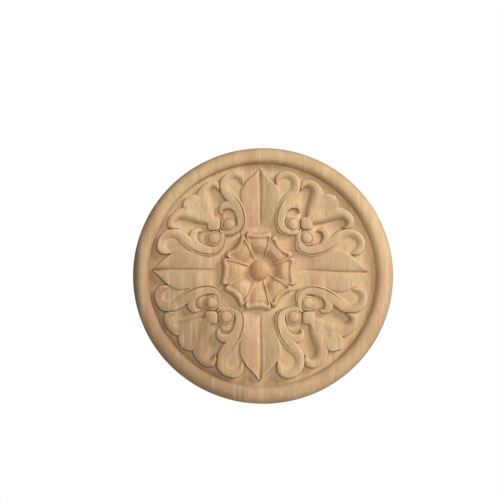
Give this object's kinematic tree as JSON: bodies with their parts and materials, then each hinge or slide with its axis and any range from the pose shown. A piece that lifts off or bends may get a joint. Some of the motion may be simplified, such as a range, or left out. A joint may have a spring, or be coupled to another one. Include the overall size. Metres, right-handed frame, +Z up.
{
  "type": "carved wood applique",
  "caption": "Round wooden applique with a rounded rim and a carved rosette, spear leaves, scrolls and fan leaves on a sunk field.",
  "frame": {"origin": "centre of the flat back face", "axes": "+Y into what it is fixed to, so the carving faces -Y; +Z up, along the grain"},
  "size_m": [0.202, 0.02, 0.1986],
  "materials": {
    "wood": "raw, lightly sanded"
  },
  "bodies": {
    "root": {"carved_applique": "wood"}
  },
  "joints": []
}
